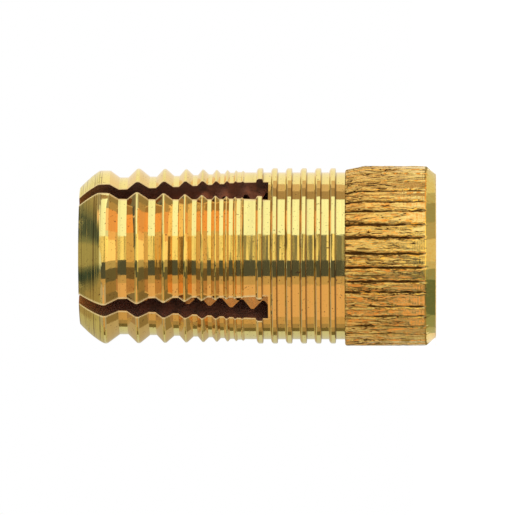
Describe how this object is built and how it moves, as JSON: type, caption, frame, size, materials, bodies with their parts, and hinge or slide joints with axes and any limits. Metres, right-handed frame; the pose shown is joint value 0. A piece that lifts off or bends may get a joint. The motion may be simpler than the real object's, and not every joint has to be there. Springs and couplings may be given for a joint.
{
  "type": "brass expansion anchor",
  "caption": "Knurled brass expansion anchor: an internally threaded sleeve whose slotted, ridged legs spread in a drilled hole as a screw is driven in.",
  "frame": {"origin": "centre of the head's flat end face, which the anchor stands on", "axes": "+Z along the sleeve's axis, from the head to the tips of the legs; +X and +Y along the two saw cuts"},
  "size_m": [0.0126, 0.0126, 0.025],
  "materials": {
    "brass": "bright turned brass with fine tool marks"
  },
  "bodies": {
    "root": {"anchor_sleeve": "brass"}
  },
  "joints": []
}
